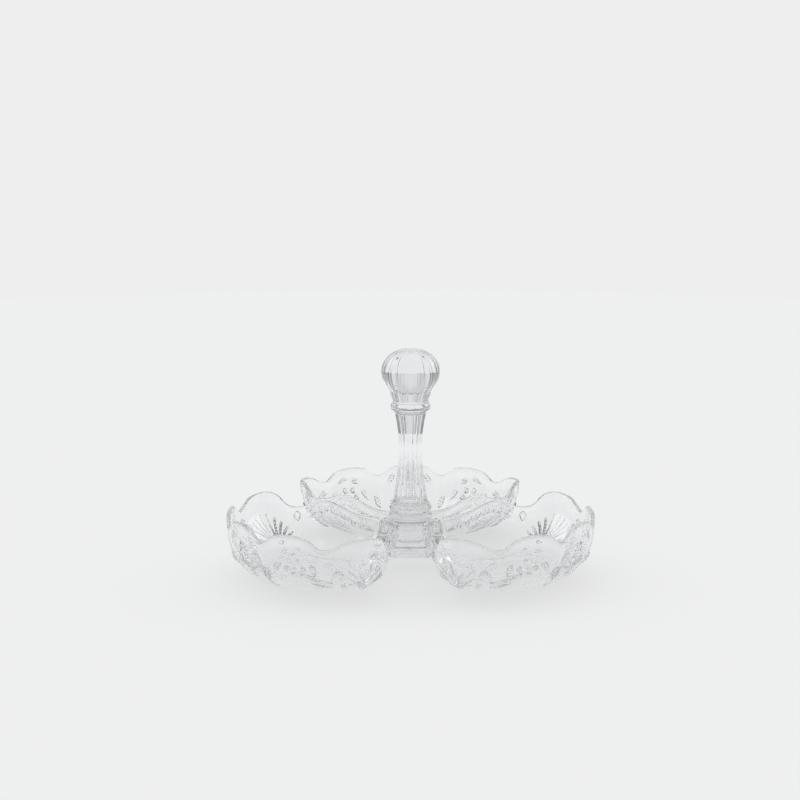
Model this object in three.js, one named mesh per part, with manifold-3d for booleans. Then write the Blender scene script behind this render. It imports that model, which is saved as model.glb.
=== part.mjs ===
// A chip and dip server in pressed clear glass: three scalloped dishes bonded
// round a solid hub, with a fluted handle that ends in a ribbed knob.
// Millimetres, +Z up. The table is z = 0 and the hub's axis is upright.

import * as THREE from 'three';
import { mergeVertices } from 'three/addons/utils/BufferGeometryUtils.js';
import Module from 'manifold-3d';

const wasm = await Module();
wasm.setup();

// ---------- driving dimensions ----------

// The dishes, each measured along its own line out from the hub's axis (out)
// and across that line (across).
const dishBearings = { back_dish: 90, left_dish: 210, right_dish: 330 };
const dishCentreOut = 70;
const crestHeight = 51.4;
const crestShoulderHeight = 49.6;
const troughHeight = 42.6;
const slotTroughHeight = 40.3;
const slotCrestHeight = 47;
const hubRimHeight = 38;
const footRadius = 51;
const footHubReach = 24;
const footSlotReach = 21;
const footCornerSharpness = 6;
const slotWallAngle = 147.4;
const footRingWidth = 6;
const footRecess = 1;
const floorThickness = 5.5;
const floorInset = 7;
const wallThickness = 3.4;
const hubWallThickness = 8;
const hubWallStart = 0.8;
const wallFlareExponent = 0.66;
const rimRound = 1.3;
const dishSteps = 72;
const wallLevels = 5;
const wallLevelCrowding = 1.5;

// The hub: a three-sided tapered block under a round pad.
const hubBottom = 11;
const hubShoulder = 38;
const hubTop = 44;
const hubPadRadius = 17;
const hubPadEdge = 0.8;
const hubPadOverlap = 2;
const bondFaceTop = 17.3;
const bondFaceBottom = 24;
const slotFaceTop = 20;
const slotFaceBottom = 22;

// The adhesive in the four joints.
const filmThickness = 0.4;
const jointGap = 0.3;
const filmMargin = 1.5;

// The handle.
const handleBottom = hubTop + filmThickness + 2 * jointGap;
const handleTop = 172.4;
const knobRadius = 22.8;
const knobRibs = 20;
const ribDepth = 0.9;
const handleSteps = 80;

const up = new THREE.Vector3(0, 0, 1);
const glass = { color: 0xe6ecec, roughness: 0.03, metalness: 0 };
const adhesive = { color: 0xe9e6cf, roughness: 0.2, metalness: 0 };

// ---------- meshes and solids ----------

const server = new THREE.Group();

function addPiece(name, geometry, finish, parent = server) {
  const mesh = new THREE.Mesh(geometry, new THREE.MeshStandardMaterial(finish));
  mesh.name = name;
  parent.add(mesh);
  return mesh;
}

// Rings of points, all of one length, joined into a closed skin between a
// first and a last point that close its two ends.
function skinRings(firstPoint, rings, lastPoint) {
  const count = rings[0].length;
  const points = [firstPoint, ...rings.flat(), lastPoint];
  const last = points.length - 1;
  const index = [];
  for (let i = 0; i < count; i += 1) {
    const next = (i + 1) % count;
    index.push(0, 1 + next, 1 + i);
    for (let level = 0; level < rings.length - 1; level += 1) {
      const low = 1 + level * count;
      const high = low + count;
      index.push(low + i, low + next, high + next);
      index.push(low + i, high + next, high + i);
    }
    const top = 1 + (rings.length - 1) * count;
    index.push(top + i, top + next, last);
  }
  const geometry = new THREE.BufferGeometry();
  const positions = points.flatMap((p) => [p.x, p.y, p.z]);
  geometry.setAttribute('position', new THREE.Float32BufferAttribute(positions, 3));
  geometry.setIndex(index);
  return geometry;
}

function toSolid(geometry) {
  const plain = geometry.clone();
  plain.deleteAttribute('normal');
  plain.deleteAttribute('uv');
  const merged = mergeVertices(plain);
  const vertProperties = new Float32Array(merged.attributes.position.array);
  const triVerts = new Uint32Array(merged.index.array);
  return new wasm.Manifold(new wasm.Mesh({ numProp: 3, vertProperties, triVerts }));
}

function toGeometry(solid) {
  const mesh = solid.getMesh();
  const geometry = new THREE.BufferGeometry();
  geometry.setAttribute('position', new THREE.Float32BufferAttribute(mesh.vertProperties, 3));
  geometry.setIndex(new THREE.Uint32BufferAttribute(mesh.triVerts, 1));
  return geometry;
}

// ---------- dish ----------

// Half of the rim, from the tip of the outermost scallop round to the hub:
// three outer scallops, a large corner one, and a small one on the slot side.
// Each scallop is a broad arch, and two of them meet in a narrow notch.
const halfRim = [
  [146.6, 0, crestHeight],
  [146.6, 15, crestShoulderHeight],
  [145, 28, troughHeight],
  [140.4, 40.5, crestShoulderHeight],
  [133, 52.3, crestHeight],
  [125.2, 64.4, crestShoulderHeight],
  [116.4, 73.8, troughHeight],
  [101, 86, crestShoulderHeight],
  [84.5, 92, crestHeight],
  [76, 88.6, crestShoulderHeight],
  [67, 80.5, slotTroughHeight],
  [57, 69, slotTroughHeight + 1.5],
  [46.2, 55.6, slotCrestHeight],
  [30, 30, hubRimHeight + 1],
  [17.2, 12.8, hubRimHeight],
  [15.6, 0, hubRimHeight],
];

function rimPoints() {
  const inner = halfRim.slice(1, -1).reverse();
  const mirrored = inner.map(([out, across, height]) => [out, -across, height]);
  const all = [...halfRim, ...mirrored].map((p) => new THREE.Vector3(...p));
  const curve = new THREE.CatmullRomCurve3(all, true, 'centripetal');
  return curve.getSpacedPoints(dishSteps).slice(0, dishSteps);
}

// How far the foot reaches from the dish's centre at an angle: a circle, cut
// in by a line along each slot and by one that faces the hub, with the corners
// between them rounded.
function footReach(angle) {
  const lines = [
    footSlotReach / Math.cos(angle - THREE.MathUtils.degToRad(slotWallAngle)),
    footSlotReach / Math.cos(angle + THREE.MathUtils.degToRad(slotWallAngle)),
    footHubReach / Math.cos(angle - Math.PI),
    footRadius,
  ];
  const ahead = lines.filter((reach) => reach > 0);
  const sum = ahead.reduce((total, reach) => total + reach ** -footCornerSharpness, 0);
  return sum ** (-1 / footCornerSharpness);
}

// The wall's share of its flare at a share of its height: it leaves the foot
// in a round bend and comes up steep to the rim.
function flareAt(share) {
  return Math.sin((Math.PI / 2) * share ** wallFlareExponent);
}

// The levels of the wall stand closer together near the foot, where it bends.
function levelShare(level) {
  return (level / wallLevels) ** wallLevelCrowding;
}

function dishGeometry() {
  const centre = new THREE.Vector3(dishCentreOut, 0, 0);
  const meridians = rimPoints().map((rim) => {
    const outward = new THREE.Vector3(rim.x - centre.x, rim.y, 0);
    const reach = outward.length();
    const angle = Math.atan2(outward.y, outward.x);
    const hubShare = THREE.MathUtils.smoothstep(-Math.cos(angle), hubWallStart, 1);
    const thickness = THREE.MathUtils.lerp(wallThickness, hubWallThickness, hubShare);
    return { direction: outward.normalize(), reach, foot: footReach(angle), height: rim.z, thickness };
  });
  const ring = (place) => meridians.map((m) => {
    const [reach, height] = place(m);
    const point = centre.clone().addScaledVector(m.direction, reach);
    return point.setZ(height);
  });
  const rings = [
    ring((m) => [m.foot - footRingWidth - footRecess, footRecess]),
    ring((m) => [m.foot - footRingWidth, 0]),
  ];
  for (let level = 0; level <= wallLevels; level += 1) {
    const share = levelShare(level);
    rings.push(ring((m) => [
      m.foot + (m.reach - m.foot) * flareAt(share),
      (m.height - rimRound) * share,
    ]));
  }
  rings.push(ring((m) => [m.reach - m.thickness / 2, m.height]));
  for (let level = wallLevels; level >= 0; level -= 1) {
    const share = levelShare(level);
    rings.push(ring((m) => {
      const floorReach = m.foot - floorInset;
      const rimReach = m.reach - m.thickness;
      return [
        floorReach + (rimReach - floorReach) * flareAt(share),
        floorThickness + (m.height - rimRound - floorThickness) * share,
      ];
    }));
  }
  const underside = new THREE.Vector3(dishCentreOut, 0, footRecess);
  const floor = new THREE.Vector3(dishCentreOut, 0, floorThickness);
  return skinRings(underside, rings, floor);
}

// The plane in which a dish meets the hub leans out towards the foot.
const bondLean = Math.atan2(bondFaceBottom - bondFaceTop, hubShoulder - hubBottom);
const bondHeight = (hubShoulder - hubBottom) / Math.cos(bondLean);
const bondCentreOut = (bondFaceTop + bondFaceBottom) / 2;
const bondCentreHeight = (hubShoulder + hubBottom) / 2;

// A group whose own +X is a bond face's outward normal and +Z runs up it.
function bondFrame() {
  const frame = new THREE.Group();
  frame.position.set(bondCentreOut, 0, bondCentreHeight);
  frame.rotation.y = -bondLean;
  frame.updateMatrix();
  return frame;
}

// What the dish loses to its joint face: everything on the hub's side of the
// bond plane, less the room that the adhesive takes.
function hubSideCutter() {
  const size = 120;
  const setback = filmThickness + 2 * jointGap;
  const block = new THREE.BoxGeometry(size, size, size);
  block.translate(setback - size / 2, 0, 0);
  return block.applyMatrix4(bondFrame().matrix);
}

// ---------- hub ----------

// One level of the tapered block: a hexagon whose bond faces look at the
// dishes and whose slot faces look out between them.
function hubOutline(bondDistance, slotDistance, height) {
  const corners = [];
  const halfWidth = (slotDistance - bondDistance / 2) / Math.sin(Math.PI / 3);
  for (const bearing of Object.values(dishBearings)) {
    for (const side of [-1, 1]) {
      const corner = new THREE.Vector3(bondDistance, side * halfWidth, height);
      corners.push(corner.applyAxisAngle(up, THREE.MathUtils.degToRad(bearing)));
    }
  }
  return corners;
}

function hubGeometry() {
  const block = skinRings(
    new THREE.Vector3(0, 0, hubBottom),
    [
      hubOutline(bondFaceBottom, slotFaceBottom, hubBottom),
      hubOutline(bondFaceTop, slotFaceTop, hubShoulder),
    ],
    new THREE.Vector3(0, 0, hubShoulder),
  );
  const padFoot = hubShoulder - hubPadOverlap;
  const padProfile = [
    [0, padFoot],
    [hubPadRadius - hubPadEdge, padFoot],
    [hubPadRadius, hubShoulder],
    [hubPadRadius, hubTop - hubPadEdge],
    [hubPadRadius - hubPadEdge, hubTop],
    [0, hubTop],
  ].map(([radius, height]) => new THREE.Vector2(radius, height));
  const pad = new THREE.LatheGeometry(padProfile, handleSteps).rotateX(Math.PI / 2);
  return toGeometry(toSolid(block).add(toSolid(pad)));
}

// ---------- adhesive ----------

function dishFilmGeometry() {
  const topWidth = (slotFaceTop - bondFaceTop / 2) / Math.sin(Math.PI / 3) - filmMargin;
  const bottomWidth = (slotFaceBottom - bondFaceBottom / 2) / Math.sin(Math.PI / 3) - filmMargin;
  const halfHeight = bondHeight / 2 - filmMargin;
  const outline = new THREE.Shape([
    new THREE.Vector2(-bottomWidth, -halfHeight),
    new THREE.Vector2(bottomWidth, -halfHeight),
    new THREE.Vector2(topWidth, halfHeight),
    new THREE.Vector2(-topWidth, halfHeight),
  ]);
  const film = new THREE.ExtrudeGeometry(outline, { depth: filmThickness, bevelEnabled: false });
  film.rotateX(Math.PI / 2).rotateZ(Math.PI / 2);
  return film.translate(jointGap, 0, 0);
}

function handleFilmGeometry() {
  const radius = hubPadRadius - filmMargin;
  const film = new THREE.CylinderGeometry(radius, radius, filmThickness, handleSteps);
  film.rotateX(Math.PI / 2);
  return film.translate(0, 0, hubTop + jointGap + filmThickness / 2);
}

// ---------- handle ----------

// Radius, height and rib share at each level, from the foot up: foot, flared
// stem, collar, neck and the ribbed knob with its flat top.
const collarHeight = 127.7;
const collarRadius = 15.8;
const knobHeight = 155.7;
const knobLowerHeight = 22;
const knobUpperHeight = 18.3;
const knobNeckRadius = 16.5;
const knobFlatRadius = 9.4;
const handleProfile = [
  [15.8, handleBottom, 0],
  [16.8, handleBottom + 1, 0],
  [16.8, handleBottom + 4.6, 0],
  [15.6, handleBottom + 5.6, 0],
  [13.4, 53, 1],
  [12.4, 61, 1],
  [10.9, 72, 1],
  [9.5, 82, 1],
  [8.8, 93, 1],
  [9.4, 106, 1],
  [10.7, 115, 1],
  [12.3, 122.5, 1],
  [13, 124.4, 0],
  [15.2, 125.3, 0],
  [collarRadius, collarHeight, 0],
  [15.2, 130, 0],
  [14.2, 131, 0],
  [14.6, 134.5, 0.6],
];

function knobLevels() {
  const levels = [];
  const steps = 9;
  const lowest = -Math.acos(knobNeckRadius / knobRadius);
  const highest = Math.acos(knobFlatRadius / knobRadius);
  for (let i = 0; i <= steps; i += 1) {
    const turn = THREE.MathUtils.lerp(lowest, highest, i / steps);
    const rise = turn < 0 ? knobLowerHeight : knobUpperHeight;
    levels.push([knobRadius * Math.cos(turn), knobHeight + rise * Math.sin(turn), 1]);
  }
  return levels;
}

function handleGeometry() {
  const levels = [...handleProfile, ...knobLevels()];
  levels.push([knobFlatRadius - 1, handleTop, 0]);
  const rings = levels.map(([radius, height, ribShare]) => {
    const ring = [];
    for (let i = 0; i < handleSteps; i += 1) {
      const angle = (2 * Math.PI * i) / handleSteps;
      const groove = (1 - Math.cos(knobRibs * angle)) / 2;
      const reach = radius - ribShare * ribDepth * groove;
      ring.push(new THREE.Vector3(reach * Math.cos(angle), reach * Math.sin(angle), height));
    }
    return ring;
  });
  const foot = new THREE.Vector3(0, 0, handleBottom);
  const crown = new THREE.Vector3(0, 0, handleTop);
  return skinRings(foot, rings, crown);
}

// ---------- assembly ----------

const dishSolid = toSolid(dishGeometry()).subtract(toSolid(hubSideCutter()));
const dishShape = toGeometry(dishSolid);
const filmShape = dishFilmGeometry();
for (const [name, bearing] of Object.entries(dishBearings)) {
  const place = new THREE.Group();
  place.rotation.z = THREE.MathUtils.degToRad(bearing);
  server.add(place);
  addPiece(name, dishShape, glass, place);
  const joint = bondFrame();
  place.add(joint);
  addPiece(`${name}_adhesive`, filmShape, adhesive, joint);
}
addPiece('hub', hubGeometry(), glass);
addPiece('handle_adhesive', handleFilmGeometry(), adhesive);
addPiece('handle', handleGeometry(), glass);

// The origin stands on the table under the middle of the whole object.
const box = new THREE.Box3().setFromObject(server, true);
const middle = box.getCenter(new THREE.Vector3());
server.position.set(-middle.x, -middle.y, -box.min.z);

export default server;
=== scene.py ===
# A chip and dip server in clear pressed glass: three scalloped dishes stand
# round a solid hub, and a fluted handle with a ribbed knob rises from it.
# Metres, +Z up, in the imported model's own frame.

import math

import bpy
import numpy as np
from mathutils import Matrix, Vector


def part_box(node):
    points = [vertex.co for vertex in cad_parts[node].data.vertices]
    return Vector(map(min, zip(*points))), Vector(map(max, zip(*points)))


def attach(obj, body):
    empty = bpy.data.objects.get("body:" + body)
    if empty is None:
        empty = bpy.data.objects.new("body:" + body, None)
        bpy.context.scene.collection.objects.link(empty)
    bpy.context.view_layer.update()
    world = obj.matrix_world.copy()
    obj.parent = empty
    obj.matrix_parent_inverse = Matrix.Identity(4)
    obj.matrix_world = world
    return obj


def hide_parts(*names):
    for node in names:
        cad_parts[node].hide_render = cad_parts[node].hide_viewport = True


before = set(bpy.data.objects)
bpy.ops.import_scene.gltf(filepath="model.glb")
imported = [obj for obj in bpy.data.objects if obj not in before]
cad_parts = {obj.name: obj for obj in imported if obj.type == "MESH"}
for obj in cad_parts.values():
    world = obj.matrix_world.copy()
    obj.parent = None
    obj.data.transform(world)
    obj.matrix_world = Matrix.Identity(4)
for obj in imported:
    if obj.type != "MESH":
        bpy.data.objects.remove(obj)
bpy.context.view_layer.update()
scene = bpy.context.scene

# ---------- camera ----------
# A studio camera with a short telephoto lens. It stands 1.3 m in front of the
# server and 0.35 m up, and looks down at it a little.

handle_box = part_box("handle")
axis_x, axis_y = [(handle_box[0][i] + handle_box[1][i]) / 2 for i in (0, 1)]
camera_data = bpy.data.cameras.new("camera")
camera_data.lens = 76.49
camera_data.sensor_width = 36.0
camera_data.clip_end = 1000.0
camera = bpy.data.objects.new("camera", camera_data)
camera.location = (axis_x - 0.0082, axis_y - 1.3118, 0.3481)
camera.rotation_euler = (math.radians(80.674), 0.0, 0.0)
scene.collection.objects.link(camera)
scene.camera = camera

# ---------- studio ----------
# A wide white table under a grey tent, which has a lit backdrop, two bright
# panels, a darker roof and dark cloth at its sides and front. The table glows
# a little, so that shadows on it stay faint.

backdrop_tone = 0.855
tent_tone = 0.63
darkest_cloth = 0.05
tent_tint = (0.975, 0.995, 1.02)
table_radius = 2.2
table_sides = 96
table_paint_tone = 0.66
table_glow = 0.623
light_bounces = 64


class Wire:
    """A node's output, so that arithmetic on it adds the nodes for it."""

    def __init__(self, tree, socket):
        self.tree = tree
        self.socket = socket

    def maths(self, operation, *values):
        node = self.tree.add("ShaderNodeMath", {"operation": operation},
                             dict(enumerate(values)))
        return Wire(self.tree, node.outputs[0])

    def __add__(self, other):
        return self.maths("ADD", self, other)

    def __sub__(self, other):
        return self.maths("SUBTRACT", self, other)

    def __rsub__(self, other):
        return self.maths("SUBTRACT", other, self)

    def __mul__(self, other):
        return self.maths("MULTIPLY", self, other)

    def __pow__(self, other):
        return self.maths("POWER", self, other)

    def __abs__(self):
        return self.maths("ABSOLUTE", self)

    __radd__ = __add__
    __rmul__ = __mul__


class Tree:
    """A node tree that is filled by one method."""

    def __init__(self, nodes_of):
        self.nodes_of = nodes_of
        self.nodes_of.nodes.clear()

    def add(self, kind, settings=None, inputs=None):
        node = self.nodes_of.nodes.new(kind)
        for name, value in (settings or {}).items():
            setattr(node, name, value)
        for name, value in (inputs or {}).items():
            if isinstance(value, Wire):
                self.nodes_of.links.new(value.socket, node.inputs[name])
            else:
                node.inputs[name].default_value = value
        return node

    def wire(self, node, name=0):
        return Wire(self, node.outputs[name])


world = bpy.data.worlds.new("studio tent")
world.use_nodes = True
scene.world = world
tent = Tree(world.node_tree)
looking = tent.wire(tent.add("ShaderNodeTexCoord"), "Generated")


def glow(direction, start, full, strength):
    """The light that a soft-edged panel adds in a direction, or that cloth takes."""
    aim = np.array(direction) / np.linalg.norm(direction)
    facing = tent.wire(tent.add("ShaderNodeVectorMath", {"operation": "DOT_PRODUCT"},
                                {0: looking, 1: tuple(aim)}), "Value")
    panel = tent.wire(tent.add("ShaderNodeMapRange", {"interpolation_type": "SMOOTHSTEP"}, {
        "Value": facing, "From Min": start, "From Max": full, "To Min": 0.0, "To Max": strength}))
    return panel


roof = glow((0.0, 0.15, 1.0), 0.55, 0.85, -0.20)
left_panel = glow((-1.0, 0.25, 0.75), 0.94, 0.975, 1.7)
right_panel = glow((1.0, 0.45, 0.6), 0.95, 0.98, 1.5)
left_dark = glow((-1.0, 0.1, 0.0), 0.35, 0.8, -0.44)
right_dark = glow((1.0, 0.1, 0.0), 0.35, 0.8, -0.44)
backdrop = glow((0.0, 1.0, 0.0), 0.90, 0.99, 0.12)
front_dark = glow((0.0, -1.0, 0.15), 0.0, 0.7, -0.50)
tent_light = tent_tone + roof + backdrop + left_dark + right_dark + front_dark
tent_light = tent_light.maths("MAXIMUM", tent_light, darkest_cloth) + left_panel + right_panel
tinted = tent.wire(tent.add("ShaderNodeVectorMath", {"operation": "SCALE"}, {
    0: tent_tint, "Scale": tent_light}))
seen = tent.wire(tent.add("ShaderNodeLightPath"), "Is Camera Ray")
tent_glow = tent.wire(tent.add("ShaderNodeBackground", {}, {"Color": tinted, "Strength": 1.0}))
plain_glow = tent.wire(tent.add("ShaderNodeBackground", {}, {
    "Color": (backdrop_tone, backdrop_tone, backdrop_tone, 1.0), "Strength": 1.0}))
either = tent.wire(tent.add("ShaderNodeMixShader", {}, {0: seen, 1: tent_glow, 2: plain_glow}))
tent.add("ShaderNodeOutputWorld", {}, {"Surface": either})

table_edge = [(table_radius * math.cos(turn), table_radius * math.sin(turn), 0.0)
              for turn in np.linspace(0.0, 2.0 * math.pi, table_sides, endpoint=False)]
table_mesh = bpy.data.meshes.new("table")
table_mesh.from_pydata(table_edge, [], [list(range(table_sides))])
table = bpy.data.objects.new("table", table_mesh)
scene.collection.objects.link(table)
table_paint = bpy.data.materials.new("white table")
table_paint.use_nodes = True
paint = Tree(table_paint.node_tree)
matt = paint.wire(paint.add("ShaderNodeBsdfDiffuse", {}, {
    "Color": (table_paint_tone, table_paint_tone, table_paint_tone, 1.0)}))
shine = paint.wire(paint.add("ShaderNodeEmission", {}, {
    "Color": (table_glow, table_glow, table_glow, 1.0), "Strength": 1.0}))
both = paint.wire(paint.add("ShaderNodeAddShader", {}, {0: matt, 1: shine}))
paint.add("ShaderNodeOutputMaterial", {}, {"Surface": both})
table_mesh.materials.append(table_paint)

scene.view_settings.view_transform = "Standard"
scene.cycles.max_bounces = light_bounces
scene.cycles.transmission_bounces = light_bounces
scene.cycles.glossy_bounces = light_bounces
scene.cycles.transparent_max_bounces = light_bounces
scene.cycles.caustics_refractive = False
scene.cycles.caustics_reflective = False

# ---------- dishes ----------
# Three like dishes of pressed clear glass. Each is formed in one mould, smooth
# inside, with flowers, leaves and stems in relief outside, and fire-polished.

MM = 0.001
dish_bearings = {"back_dish": 90.0, "left_dish": 210.0, "right_dish": 330.0}
dish_centre_out = 70.0
dish_columns = 680
wall_rows = 112
rim_rows = 6
inner_rows = 16
lip_height = 1.8
floor_thickness = 5.5
floor_inset = 7.0
foot_recess = 1.0
foot_front_reach = 51.0
wall_outer_lip = 3.4
wall_hub_lip = 8.0
wall_curve = 0.66
hub_foot_reach = 24.0
hub_top_reach = 17.3
hub_taper = 27.0
hub_shoulder = 38.0
leaf_rim_gap = 12.0
bud_rim_gap = 7.5
stud_radius = 0.85
stud_shift = 0.35
stud_clearance = 5.0
half_rim = [(146.6, 0, 51.4), (146.6, 15, 49.6), (145, 28, 42.6), (140.4, 40.5, 49.6),
            (133, 52.3, 51.4), (125.2, 64.4, 49.6), (116.4, 73.8, 42.6), (101, 86, 49.6),
            (84.5, 92, 51.4), (76, 88.6, 49.6), (67, 80.5, 40.3), (57, 69, 41.8),
            (46.2, 55.6, 47), (30, 30, 39), (17.2, 12.8, 38), (15.6, 0, 38)]


def round_curve(points, spaces):
    """A closed centripetal Catmull-Rom curve, in equal steps of length."""
    fine = []
    count = len(points)
    for i in range(count):
        p0, p1, p2, p3 = [points[(i + k - 1) % count] for k in range(4)]
        d0, d1, d2 = [math.sqrt(np.linalg.norm(b - a)) for a, b in ((p0, p1), (p1, p2), (p2, p3))]
        leave = ((p1 - p0) / d0 - (p2 - p0) / (d0 + d1) + (p2 - p1) / d1) * d1
        arrive = ((p2 - p1) / d1 - (p3 - p1) / (d1 + d2) + (p3 - p2) / d2) * d1
        t = np.linspace(0, 1, 200, endpoint=False)[:, None]
        fine.append(p1 + leave * t + (3 * (p2 - p1) - 2 * leave - arrive) * t ** 2
                    + (2 * (p1 - p2) + leave + arrive) * t ** 3)
    fine = np.vstack(fine + [points[:1]])
    run = np.concatenate([[0], np.cumsum(np.linalg.norm(np.diff(fine, axis=0), axis=1))])
    at = np.linspace(0, run[-1], spaces, endpoint=False)
    return np.stack([np.interp(at, run, fine[:, k]) for k in range(3)], 1)


other_half = [(out, -across, rise) for out, across, rise in half_rim[-2:0:-1]]
rim = round_curve(np.array(half_rim + other_half, float), dish_columns)
toward = rim[:, :2] - (dish_centre_out, 0)
rim_reach = np.linalg.norm(toward, axis=1)
toward /= rim_reach[:, None]
rim_height = rim[:, 2]
angle = np.arctan2(toward[:, 1], toward[:, 0])
reaches = [(21.0, math.radians(147.4)), (21.0, -math.radians(147.4)), (24.0, math.pi)]
foot_reach = np.full(dish_columns, foot_front_reach ** -6)
for reach, facing in reaches:
    line = np.cos(angle - facing) / reach
    foot_reach += np.where(line > 0, line, 0) ** 6
foot_reach = foot_reach ** (-1 / 6)
hub_share = np.clip((-toward[:, 0] - 0.8) / 0.2, 0, 1)
hub_share = hub_share ** 2 * (3 - 2 * hub_share)
lip = wall_outer_lip + (wall_hub_lip - wall_outer_lip) * hub_share
lean = math.atan2(hub_foot_reach - hub_top_reach, hub_taper)
setback = 1.0 / math.cos(lean)


def flare(share):
    """How far along its flare the wall is at a share of its height."""
    return np.sin(math.pi / 2 * share ** wall_curve)


rows = []


def add_row(reach, rise, kind, share=0.0):
    """One closed row of points round the dish. A row outside the bowl stops
    at the flat face that is bonded to the hub."""
    reach = np.broadcast_to(reach, dish_columns).astype(float)
    rise = np.broadcast_to(rise, dish_columns).astype(float)
    room = np.full(dish_columns, 1e3)
    hubward = toward[:, 0] < -0.3
    face = hub_top_reach + (hub_shoulder - rise) * math.tan(lean) + setback
    room[hubward] = ((dish_centre_out - face) / -toward[:, 0])[hubward]
    cut = (reach >= room - 1e-6) & (kind != "inner")
    reach = np.where(cut, room, reach)
    rows.append({"reach": reach, "rise": rise, "kind": kind, "cut": cut, "share": share})


for part in (0.25, 0.5, 0.75, 1.0):
    add_row((foot_reach - 7.0) * part, foot_recess, "foot")
add_row(foot_reach - 6.2, 0.15, "foot")
add_row(foot_reach - 5.8, 0.0, "foot")
add_row(foot_reach - 3.0, 0.0, "foot")
for i in range(wall_rows + 1):
    share = (i / wall_rows) ** 1.5
    add_row(foot_reach + (rim_reach - foot_reach) * flare(share),
            (rim_height - lip_height) * share, "wall", share)
for i in range(1, rim_rows):
    turn = math.pi * i / rim_rows
    add_row(rim_reach - lip / 2 + lip / 2 * math.cos(turn),
            rim_height - lip_height + lip_height * math.sin(turn), "rim")
for i in range(inner_rows, -1, -1):
    share = (i / inner_rows) ** 1.5
    floor_reach = foot_reach - floor_inset
    add_row(floor_reach + (rim_reach - lip - floor_reach) * flare(share),
            floor_thickness + (rim_height - lip_height - floor_thickness) * share, "inner")
for part in (0.75, 0.5, 0.25):
    add_row((foot_reach - floor_inset) * part, floor_thickness, "inner")

grid = np.stack([np.stack([dish_centre_out + row["reach"] * toward[:, 0],
                           row["reach"] * toward[:, 1], row["rise"]], 1) for row in rows])
wall_at = [i for i, row in enumerate(rows) if row["kind"] == "wall"]
wall = grid[wall_at]
middle = wall[wall_rows // 2]
steps = np.linalg.norm(np.roll(middle, -1, axis=0) - middle, axis=1)
along = np.concatenate([[0], np.cumsum(steps)[:-1]])
along = np.where(np.arange(dish_columns) <= dish_columns // 2, along, along - steps.sum())
climb = np.concatenate([np.zeros((1, dish_columns)),
                        np.cumsum(np.linalg.norm(np.diff(wall, axis=0), axis=2), axis=0)])
wall_rise = wall[:, :, 2]
one_side = slice(0, dish_columns // 2 + 1)


def spot(bearing, rise):
    """The place on the unrolled wall that is at a bearing and a height."""
    column = int(np.argmin(np.abs(angle[one_side] - math.radians(bearing))))
    return np.array([along[column], np.interp(rise, wall_rise[:, column], climb[:, column])])


def turned(points, degrees, place):
    """Points turned about their own zero and put in place."""
    c, s = math.cos(math.radians(degrees)), math.sin(math.radians(degrees))
    return points @ np.array([[c, s], [-s, c]]) + place


shapes, ridges, veins = [], [], []


def leaf(place, length, width, degrees, veined=False):
    """A pointed oval that starts at its stalk, with a midrib and side veins."""
    t = np.linspace(0, 1, 12)
    half = width / 2 * np.sin(math.pi * t) ** 0.85
    x = t * length
    outline = np.vstack([np.stack([x, half], 1), np.stack([x[::-1], -half[::-1]], 1)[1:-1]])
    shapes.append(turned(outline, degrees, place))
    if veined:
        veins.append(turned(np.array([(length * 0.06, 0), (length * 0.92, 0)]), degrees, place))
        for step in (0.25, 0.42, 0.6, 0.76):
            for side in (-1, 1):
                reach = width / 2 * math.sin(math.pi * step) * 0.85
                veins.append(turned(np.array([(length * step, 0),
                                              (length * step + reach * 0.8, side * reach)]),
                                    degrees, place))


def flower(place, radius, petals):
    """A rosette of one ring of broad petals round a raised eye."""
    for k in range(petals):
        degrees = 360 * k / petals + 12
        start = turned(np.array([[radius * 0.3, 0]]), degrees, place)[0]
        leaf(start, radius * 0.74, radius * 0.62, degrees)
        ridge = np.array([(radius * 0.36, 0), (radius * 0.78, 0)])
        veins.append(turned(ridge, degrees, place))
    eye = np.linspace(0, 2 * math.pi, 12, endpoint=False)
    shapes.append(place + radius * 0.22 * np.stack([np.cos(eye), np.sin(eye)], 1))


def stem(place, length, degrees, bend, bud=0.0):
    """A slender curved stem, with or without a bud at its tip."""
    t = np.linspace(0, 1, 7)[:, None]
    path = np.hstack([length * t, bend * t ** 2])
    ridges.append(turned(path, degrees, place))
    if bud:
        tip = turned(path[-1:], degrees, place)[0]
        leaf(tip, bud, bud * 0.55, degrees + math.degrees(math.atan2(2 * bend, length)))


flower(spot(0, 31), 8.0, 6)
for degrees, bend in ((150, -3), (172, -2), (30, 3), (8, 2)):
    stem(spot(0, 17), 13.0, degrees, bend, 5.0)
leaf(spot(0, 8), 12.0, 6.0, 90, True)
leaf(spot(14, 33), 12.0, 5.0, 118, True)
leaf(spot(21, 12), 16.0, 7.0, 80, True)
leaf(spot(28, 20), 14.0, 5.5, 62, True)
flower(spot(42, 26), 10.0, 6)
leaf(spot(53, 20), 13.0, 5.4, 98, True)
leaf(spot(33, 36), 10.0, 4.4, 28, True)
leaf(spot(49, 38), 9.0, 4.4, 160, True)
leaf(spot(62, 19), 13.0, 6.0, 60, True)
leaf(spot(71, 9), 11.0, 4.6, 118, True)
for rise, bend in ((15, -0.6), (18, 0.8)):
    stem(spot(51, rise), 15.0, 2, bend)
for k in range(9):
    stem(spot(81, 8), 33.0 - 1.6 * abs(k - 4), 90 + 9 * (k - 4), 0.9 * (k - 4))
leaf(spot(66, 27), 13.0, 6.5, 150, True)
leaf(spot(96, 27), 11.0, 6.5, 94)
for k, bearing in enumerate(np.arange(103, 150, 4.5)):
    brim = rim_height[np.argmin(np.abs(angle[one_side] - math.radians(bearing)))]
    leaf(spot(bearing, brim - leaf_rim_gap), 8.0, 4.6, 48 if k % 2 else 64, True)
    leaf(spot(bearing + 2, brim - bud_rim_gap), 6.5, 4.0, 132, True)
rng = np.random.default_rng(7)
eye = np.linspace(0, 2 * math.pi, 6, endpoint=False)
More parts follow.
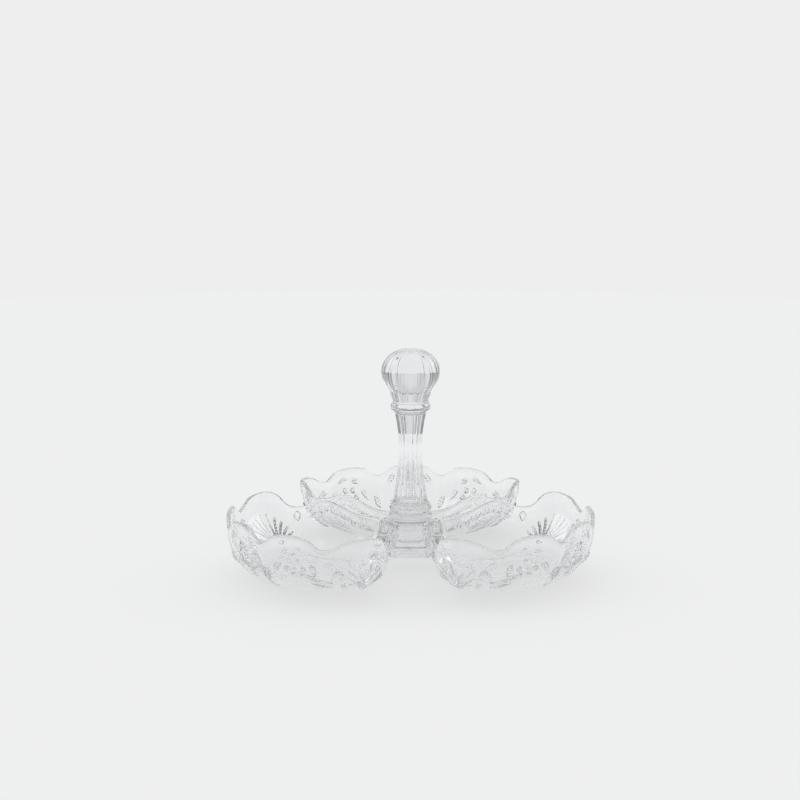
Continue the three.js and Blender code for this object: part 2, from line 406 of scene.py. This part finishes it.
for k, rise in enumerate(np.arange(5.5, 24, 2.6)):
    for bearing in np.arange(1.5 + 1.5 * (k % 2), 56, 3.2):
        place = spot(bearing, rise) + rng.uniform(-stud_shift, stud_shift, 2)
        crowded = any(np.linalg.norm(shape.mean(0) - place) < stud_clearance
                      for shape in shapes if len(shape) > len(eye))
        if not crowded:
            shapes.append(place + stud_radius * np.stack([np.cos(eye), np.sin(eye)], 1))


def unrolled(name, lines, closed):
    """The outlines of one kind of relief, laid flat, on both halves of the wall."""
    points, edges, faces = [], [], []
    for line in lines:
        for side in (1, -1):
            base = len(points)
            count = len(line)
            points += [(side * x * MM, y * MM, 0.0) for x, y in line]
            if closed:
                faces.append([base + i for i in range(count)][::side])
            else:
                edges += [(base + i, base + i + 1) for i in range(count - 1)]
    mesh = bpy.data.meshes.new(name)
    mesh.from_pydata(points, edges, faces)
    pattern = bpy.data.objects.new(name, mesh)
    scene.collection.objects.link(pattern)
    return pattern


patterns = {"Petals and leaves": unrolled("petals and leaves", shapes, True),
            "Stems and ribs": unrolled("stems and ribs", ridges, False),
            "Veins": unrolled("veins", veins, False)}


def skin(name, ring_grid, first, last):
    """A closed skin over rows of points, between two end points."""
    count = ring_grid.shape[1]
    points = np.vstack([first[None], ring_grid.reshape(-1, 3), last[None]]) * MM
    i = np.arange(count)
    j = (i + 1) % count
    faces = [(0, int(b), int(a)) for a, b in zip(1 + i, 1 + j)]
    for row in range(ring_grid.shape[0] - 1):
        low = 1 + row * count
        high = low + count
        faces += np.stack([low + i, low + j, high + j, high + i], 1).tolist()
    top_row = 1 + (ring_grid.shape[0] - 1) * count
    faces += [(int(a), int(b), len(points) - 1) for a, b in zip(top_row + i, top_row + j)]
    mesh = bpy.data.meshes.new(name)
    mesh.from_pydata(points.tolist(), [], faces)
    mesh.polygons.foreach_set("use_smooth", [True] * len(mesh.polygons))
    return mesh


def keep(mesh, name, kind, domain, values):
    """Values stored on a mesh for the nodes to read."""
    attribute = mesh.attributes.new(name, kind, domain)
    field = "vector" if kind == "FLOAT_VECTOR" else "value"
    attribute.data.foreach_set(field, np.asarray(values).ravel())


def pressed_glass(name, tint, wave, wave_height, roughness):
    """Clear glass, a little wavy from the mould. Its shadow lets light by."""
    material = bpy.data.materials.new(name)
    material.use_nodes = True
    tree = Tree(material.node_tree)
    where = tree.wire(tree.add("ShaderNodeTexCoord"), "Object")
    cloud = tree.wire(tree.add("ShaderNodeTexNoise", {}, {
        "Vector": where, "Scale": wave, "Detail": 2.0, "Roughness": 0.45}))
    streak = tree.wire(tree.add("ShaderNodeTexNoise", {}, {
        "Vector": where, "Scale": wave * 0.35, "Detail": 1.0}))
    colour = tree.wire(tree.add("ShaderNodeMix", {"data_type": "RGBA"}, {
        0: streak, 6: (*tint, 1.0), 7: (*[1 - (1 - c) * 0.6 for c in tint], 1.0)}), 2)
    ripple = tree.wire(tree.add("ShaderNodeBump", {}, {
        "Strength": 1.0, "Distance": wave_height, "Height": cloud}))
    glass = tree.wire(tree.add("ShaderNodeBsdfPrincipled", {}, {
        "Base Color": colour, "Roughness": roughness + 0.03 * streak, "IOR": 1.52,
        "Transmission Weight": 1.0, "Normal": ripple}))
    clear = tree.wire(tree.add("ShaderNodeBsdfTransparent", {}, {
        "Color": (0.96, 0.965, 0.97, 1.0)}))
    shadow = tree.wire(tree.add("ShaderNodeLightPath"), "Is Shadow Ray")
    surface = tree.wire(tree.add("ShaderNodeMixShader", {}, {0: shadow, 1: glass, 2: clear}))
    tree.add("ShaderNodeOutputMaterial", {}, {"Surface": surface})
    return material


def wetted_face(name, tint):
    """A face that adhesive wets: it hardly shows, because the adhesive bends
    light as much as the glass does."""
    material = bpy.data.materials.new(name)
    material.use_nodes = True
    tree = Tree(material.node_tree)
    where = tree.wire(tree.add("ShaderNodeTexCoord"), "Object")
    cloud = tree.wire(tree.add("ShaderNodeTexNoise", {}, {
        "Vector": where, "Scale": 180.0, "Detail": 3.0}))
    film = tree.wire(tree.add("ShaderNodeBsdfPrincipled", {}, {
        "Base Color": (*tint, 1.0), "Roughness": 0.3, "Alpha": 0.01 + 0.05 * cloud}))
    tree.add("ShaderNodeOutputMaterial", {}, {"Surface": film})
    return material


relief = bpy.data.node_groups.new("pressed relief", "GeometryNodeTree")
relief.interface.new_socket("Dish", in_out="OUTPUT", socket_type="NodeSocketGeometry")
for label, kind in (("Dish", "Geometry"), ("Petals and leaves", "Object"),
                    ("Stems and ribs", "Object"), ("Veins", "Object"),
                    ("Leaf height", "Float"), ("Leaf shoulder", "Float"),
                    ("Stem height", "Float"), ("Stem width", "Float"),
                    ("Vein depth", "Float"), ("Vein width", "Float"),
                    ("Glass", "Material"), ("Wetted", "Material")):
    relief.interface.new_socket(label, in_out="INPUT", socket_type=f"NodeSocket{kind}")
carve = Tree(relief)
given = carve.add("NodeGroupInput")


def stored(tree, name, kind):
    """A value kept on the mesh."""
    node = tree.add("GeometryNodeInputNamedAttribute", {"data_type": kind}, {"Name": name})
    return Wire(tree, next(o for o in node.outputs if o.enabled))


def away_from(label, element):
    """How far a point of the unrolled wall is from the nearest mark."""
    laid = carve.wire(carve.add("GeometryNodeObjectInfo", {"transform_space": "ORIGINAL"}, {
        "Object": carve.wire(given, label)}), "Geometry")
    node = carve.add("GeometryNodeProximity", {"target_element": element}, {
        0: laid, "Source Position": stored(carve, "wall", "FLOAT_VECTOR")})
    return carve.wire(node, "Distance")


def ease(value, end, low, high):
    """A smooth change from low at zero to high at the end distance."""
    return carve.wire(carve.add("ShaderNodeMapRange", {"interpolation_type": "SMOOTHSTEP"}, {
        "Value": value, "From Min": 0.0, "From Max": end, "To Min": low, "To Max": high}))


inside = ease(away_from("Petals and leaves", "FACES"), 0.00008, 1.0, 0.0)
crown = ease(away_from("Petals and leaves", "EDGES"), carve.wire(given, "Leaf shoulder"), 0.0, 1.0)
raised = inside * crown * carve.wire(given, "Leaf height")
stalks = ease(away_from("Stems and ribs", "EDGES"), carve.wire(given, "Stem width"), 1.0, 0.0)
veining = ease(away_from("Veins", "EDGES"), carve.wire(given, "Vein width"), 1.0, 0.0)
height = raised.maths("MAXIMUM", raised, stalks * carve.wire(given, "Stem height"))
height = height - veining * carve.wire(given, "Vein depth")
height = height * stored(carve, "relief", "FLOAT")
outward = carve.wire(carve.add("GeometryNodeInputNormal"), "Normal")
push = carve.wire(carve.add("ShaderNodeVectorMath", {"operation": "SCALE"}, {
    0: outward, "Scale": height}))
moved = carve.wire(carve.add("GeometryNodeSetPosition", {}, {
    "Geometry": carve.wire(given, "Dish"), "Offset": push}))
whole = carve.wire(carve.add("GeometryNodeRealizeInstances", {}, {"Geometry": moved}))
glazed = carve.wire(carve.add("GeometryNodeSetMaterial", {}, {
    "Geometry": whole, "Material": carve.wire(given, "Glass")}))
wetted = carve.wire(carve.add("GeometryNodeSetMaterial", {}, {
    "Geometry": glazed, "Selection": stored(carve, "bonded", "BOOLEAN"),
    "Material": carve.wire(given, "Wetted")}))
carve.add("NodeGroupOutput", {}, {0: wetted})


def shaped(name, mesh, group, settings):
    """The plain mesh that a mesh becomes under a tree of geometry nodes."""
    blank = bpy.data.objects.new(name, mesh)
    scene.collection.objects.link(blank)
    modifier = blank.modifiers.new("shape", "NODES")
    modifier.node_group = group
    for item in group.interface.items_tree:
        if item.in_out == "INPUT" and item.name in settings:
            modifier[item.identifier] = settings[item.name]
    ready = blank.evaluated_get(bpy.context.evaluated_depsgraph_get())
    finished = bpy.data.meshes.new_from_object(ready)
    blank.modifiers.clear()
    finished.set_sharp_from_angle(angle=math.radians(42))
    blank.data = finished
    return blank


dish_glass = pressed_glass("dish glass", (0.996, 0.999, 1.0), 55.0, 0.00022, 0.012)
wetted_glass = wetted_face("wetted face of the glass", (0.86, 0.88, 0.84))
fade = np.zeros((len(rows), dish_columns))
for row in wall_at:
    share = rows[row]["share"]
    low = np.clip((share - 0.02) / 0.06, 0, 1)
    high = np.clip((0.97 - share) / 0.07, 0, 1)
    side = np.clip((math.radians(158) - np.abs(angle)) / math.radians(8), 0, 1)
    fade[row] = low * high * side
unroll = np.zeros((len(rows), dish_columns, 3))
unroll[wall_at, :, 0] = along * MM
unroll[wall_at, :, 1] = climb * MM
cuts = np.array([row["cut"] for row in rows])
quad_cut = cuts[:-1] & cuts[1:]
quad_cut = quad_cut & np.roll(quad_cut, -1, axis=1)
face_cut = np.concatenate([np.zeros(dish_columns), quad_cut.ravel(), np.zeros(dish_columns)])
for name, bearing in dish_bearings.items():
    turn = math.radians(bearing)
    c, s = math.cos(turn), math.sin(turn)
    spin = np.array([[c, s, 0], [-s, c, 0], [0, 0, 1]])
    offset = np.array([axis_x, axis_y, 0]) / MM
    ends = np.array([[dish_centre_out, 0, foot_recess], [dish_centre_out, 0, floor_thickness]])
    placed = grid @ spin + offset
    first, last = ends @ spin + offset
    mesh = skin(name + " blank", placed, first, last)
    keep(mesh, "wall", "FLOAT_VECTOR", "POINT",
         np.vstack([[[0, 0, 0]], unroll.reshape(-1, 3), [[0, 0, 0]]]))
    keep(mesh, "relief", "FLOAT", "POINT", np.concatenate([[0], fade.ravel(), [0]]))
    keep(mesh, "bonded", "BOOLEAN", "FACE", face_cut.astype(bool))
    dish = shaped(name.replace("dish", "dish_glass"), mesh, relief, {
        **patterns, "Leaf height": 0.0017, "Leaf shoulder": 0.0018, "Stem height": 0.0017,
        "Stem width": 0.0012, "Vein depth": 0.0009, "Vein width": 0.0009,
        "Glass": dish_glass, "Wetted": wetted_glass})
    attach(dish, "root")
    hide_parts(name)
for pattern in patterns.values():
    bpy.data.objects.remove(pattern)

# ---------- hub ----------
# A solid block of pressed clear glass between the dishes. It narrows upwards,
# has a flat face for each dish and for each slot, and ends in a round pad.

hub_columns = 240
hub_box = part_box("hub")
hub_low, hub_top = hub_box[0][2] / MM, hub_box[1][2] / MM
slot_foot_reach = 22.0
slot_taper = 2.0
hub_edge = 1.2
hub_squareness = 60
pad_radius = 17.0
around = np.linspace(0, 2 * math.pi, hub_columns, endpoint=False)


def hub_row(bond, slot, corner, inset, rise):
    """A three-sided outline with cut corners, drawn in by an inset."""
    sum_of = np.zeros(hub_columns)
    for k in range(3):
        for reach, facing in ((bond, 90 + 120 * k), (slot, 30 + 120 * k)):
            line = np.cos(around - math.radians(facing)) / (reach - inset)
            sum_of += np.where(line > 0, line, 0) ** corner
    reach = sum_of ** (-1 / corner)
    return np.stack([reach * np.cos(around), reach * np.sin(around), np.full(hub_columns, rise)], 1)


def pad_row(radius, rise):
    """A round row of the pad."""
    return np.stack([radius * np.cos(around), radius * np.sin(around),
                     np.full(hub_columns, rise)], 1)


hub_rows = [hub_row(hub_foot_reach, slot_foot_reach, hub_squareness, inset, hub_low)
            for inset in (16, 8, 2)]
for k in range(4):
    turn = math.pi / 2 * k / 3
    hub_rows.append(hub_row(hub_foot_reach, slot_foot_reach, hub_squareness,
                            hub_edge * (1 - math.sin(turn)),
                            hub_low + hub_edge * (1 - math.cos(turn))))
for part in np.linspace(0.08, 0.97, 14):
    hub_rows.append(hub_row(hub_foot_reach - (hub_foot_reach - hub_top_reach) * part,
                            slot_foot_reach - slot_taper * part, hub_squareness, 0,
                            hub_low + hub_taper * part))
hub_rows.append(hub_row(17.5, 19.8, hub_squareness, 0.2, 37.8))
hub_rows.append(hub_row(17.4, 19.3, hub_squareness, 0.9, 38.1))
for radius, rise in ((16.5, 38.3), (16.2, 38.9), (16.5, 39.5), (pad_radius, 40.0), (pad_radius, 42.4),
                     (16.8, 43.0), (16.4, 43.6), (15.9, 43.9)):
    hub_rows.append(pad_row(radius, rise))
for radius in (15.0, 12.0, 6.0):
    hub_rows.append(pad_row(radius, hub_top))
hub_grid = np.stack(hub_rows)
hub_offset = np.array([axis_x, axis_y, 0]) / MM
hub_mesh = skin("hub_glass", hub_grid + hub_offset, hub_offset + (0, 0, hub_low),
                hub_offset + (0, 0, hub_top))
hub_glass = pressed_glass("hub glass", (0.90, 0.93, 0.955), 60.0, 0.0003, 0.015)
hub_mesh.materials.append(hub_glass)
hub_mesh.materials.append(wetted_glass)
for face in hub_mesh.polygons:
    x, y, z = face.center
    bearing = math.degrees(math.atan2(y - axis_y, x - axis_x))
    to_dish = min(abs((bearing - b + 180) % 360 - 180) for b in dish_bearings.values())
    half_face = math.radians(abs(to_dish))
    on_side = 0.0122 < z < 0.0372
    flat = math.hypot(x - axis_x, y - axis_y) * math.sin(half_face)
    widest = 10.5 * MM if z > 0.03 else 11.0 * MM
    on_top = z > 0.04399 and math.hypot(x - axis_x, y - axis_y) < 0.0152
    if (on_side and to_dish < 26 and flat < widest) or on_top:
        face.material_index = 1
hub_mesh.set_sharp_from_angle(angle=math.radians(40))
hub = bpy.data.objects.new("hub_glass", hub_mesh)
scene.collection.objects.link(hub)
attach(hub, "root")
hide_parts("hub")

# ---------- adhesive ----------
# Four thin films of clear acrylic adhesive, cured under a lamp: one in the
# joint of each dish with the hub and one under the handle.

adhesive = wetted_face("clear adhesive", (0.93, 0.90, 0.74))
for name in ("back_dish_adhesive", "left_dish_adhesive", "right_dish_adhesive",
             "handle_adhesive"):
    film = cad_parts[name]
    film.data.materials.clear()
    film.data.materials.append(adhesive)

# ---------- handle ----------
# One solid piece of pressed clear glass, bonded upright on the hub's pad: a
# banded foot, a fluted waisted stem, a plain collar and a ribbed round knob.

rib_count = 20
rib_columns = 14
handle_low, handle_high = handle_box[0][2] / MM, handle_box[1][2] / MM
knob_middle = 155.7
knob_radius = 22.8
knob_flat_radius = 9.4
stem_profile = [
    (15.0, 45.0, 0, 0), (15.9, 45.3, 0, 0), (16.6, 46.0, 0, 0), (16.8, 47.0, 0, 0),
    (16.6, 48.0, 0, 0), (16.1, 48.7, 0, 0), (15.9, 49.0, 0, 0), (16.0, 49.5, 0, 0),
    (16.0, 50.2, 0, 0), (15.6, 50.8, 0, 0), (14.9, 51.2, 0, 0), (14.2, 51.7, 0.2, 0),
    (13.6, 52.6, 0.8, 0), (13.2, 54, 1, 0), (12.4, 61, 1, 0), (11.6, 66.5, 0.9, 0),
    (10.9, 72, 0.8, 0), (9.5, 82, 0.6, 0), (9.0, 88, 0.5, 0), (8.8, 93, 0.5, 0),
    (8.95, 99, 0.5, 0), (9.4, 106, 0.5, 0), (10.7, 115, 0.55, 0), (12.0, 121.5, 0.6, 0),
    (12.5, 123.2, 0.4, 0),
    (12.9, 124.1, 0, 0), (13.8, 124.6, 0, 0), (15.0, 125.2, 0, 0), (15.6, 126.2, 0, 0),
    (15.8, 127.6, 0, 0), (15.5, 129.0, 0, 0), (14.9, 130.1, 0, 0), (14.2, 130.8, 0, 0),
    (13.9, 131.4, 0, 0.3), (14.0, 132.5, 0, 0.8), (14.6, 134.5, 0, 1)]
profile = np.array(stem_profile, float)
knob_turns = np.linspace(-math.acos(16.5 / knob_radius),
                         math.acos(knob_flat_radius / knob_radius), 52)
knob_profile = np.array([(knob_radius * math.cos(t),
                          knob_middle + (22.0 if t < 0 else 18.3) * math.sin(t), 0, 1)
                         for t in knob_turns])
crown = np.array([(9.1, 172.25, 0, 0.6), (8.7, 172.37, 0, 0.3), (8.2, 172.4, 0, 0),
                  (4.0, 172.4, 0, 0)])


def drawn_out(points, spacing):
    """Points along the same line, no further apart than a spacing."""
    run = np.concatenate([[0], np.cumsum(np.hypot(*np.diff(points[:, :2], axis=0).T))])
    extra = np.arange(0, run[-1], spacing)
    at = np.unique(np.round(np.concatenate([run, extra]), 4))
    return np.stack([np.interp(at, run, points[:, k]) for k in range(4)], 1)


def softened(points, passes):
    """The same profile with its corners eased, its ends kept."""
    for _ in range(passes):
        points[1:-1, :2] = 0.25 * (points[:-2, :2] + points[2:, :2]) + 0.5 * points[1:-1, :2]
    return points


profile = softened(drawn_out(np.vstack([profile, knob_profile]), 0.9), 3)
profile = np.vstack([profile, crown])
handle_columns = rib_count * rib_columns
turn = np.linspace(0, 2 * math.pi, handle_columns, endpoint=False) + math.pi / 2
handle_grid = np.stack([np.stack([r * np.cos(turn), r * np.sin(turn), np.full_like(turn, z)], 1)
                        for r, z, _, _ in profile])
handle_mesh = skin("handle blank", handle_grid + hub_offset, hub_offset + (0, 0, handle_low),
                   hub_offset + (0, 0, handle_high))
whole_turn = np.tile(np.arange(handle_columns) / rib_columns, len(profile))
keep(handle_mesh, "turn", "FLOAT", "POINT", np.concatenate([[0], whole_turn, [0]]))
for label, column in (("flute", 2), ("rib", 3)):
    share = np.repeat(profile[:, column], handle_columns)
    keep(handle_mesh, label, "FLOAT", "POINT", np.concatenate([[0], share, [0]]))
under = np.zeros(len(handle_mesh.polygons), bool)
under[:handle_columns] = True
keep(handle_mesh, "bonded", "BOOLEAN", "FACE", under)

ribbing = bpy.data.node_groups.new("flutes and ribs", "GeometryNodeTree")
ribbing.interface.new_socket("Handle", in_out="OUTPUT", socket_type="NodeSocketGeometry")
for label, kind in (("Handle", "Geometry"), ("Flute depth", "Float"), ("Flute edge", "Float"),
                    ("Rib depth", "Float"), ("Groove sharpness", "Float"),
                    ("Glass", "Material"), ("Wetted", "Material")):
    ribbing.interface.new_socket(label, in_out="INPUT", socket_type=f"NodeSocket{kind}")
mould = Tree(ribbing)
given = mould.add("NodeGroupInput")
swing = stored(mould, "turn", "FLOAT") * math.pi
ridge = abs(swing.maths("COSINE", swing))
flute = (1.0 - ridge) ** mould.wire(given, "Flute edge") * mould.wire(given, "Flute depth")
groove = (1.0 - ridge) ** mould.wire(given, "Groove sharpness") * mould.wire(given, "Rib depth")
depth = flute * stored(mould, "flute", "FLOAT") + groove * stored(mould, "rib", "FLOAT")
outward = mould.wire(mould.add("GeometryNodeInputNormal"), "Normal")
push = mould.wire(mould.add("ShaderNodeVectorMath", {"operation": "SCALE"}, {
    0: outward, "Scale": depth * -1.0}))
moved = mould.wire(mould.add("GeometryNodeSetPosition", {}, {
    "Geometry": mould.wire(given, "Handle"), "Offset": push}))
whole = mould.wire(mould.add("GeometryNodeRealizeInstances", {}, {"Geometry": moved}))
glazed = mould.wire(mould.add("GeometryNodeSetMaterial", {}, {
    "Geometry": whole, "Material": mould.wire(given, "Glass")}))
wetted = mould.wire(mould.add("GeometryNodeSetMaterial", {}, {
    "Geometry": glazed, "Selection": stored(mould, "bonded", "BOOLEAN"),
    "Material": mould.wire(given, "Wetted")}))
mould.add("NodeGroupOutput", {}, {0: wetted})

handle_glass = pressed_glass("handle glass", (0.988, 0.994, 0.997), 45.0, 0.00018, 0.012)
handle = shaped("handle_glass", handle_mesh, ribbing, {
    "Flute depth": 0.0011, "Flute edge": 0.8, "Rib depth": 0.0005, "Groove sharpness": 2.6,
    "Glass": handle_glass, "Wetted": wetted_glass})
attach(handle, "root")
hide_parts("handle")
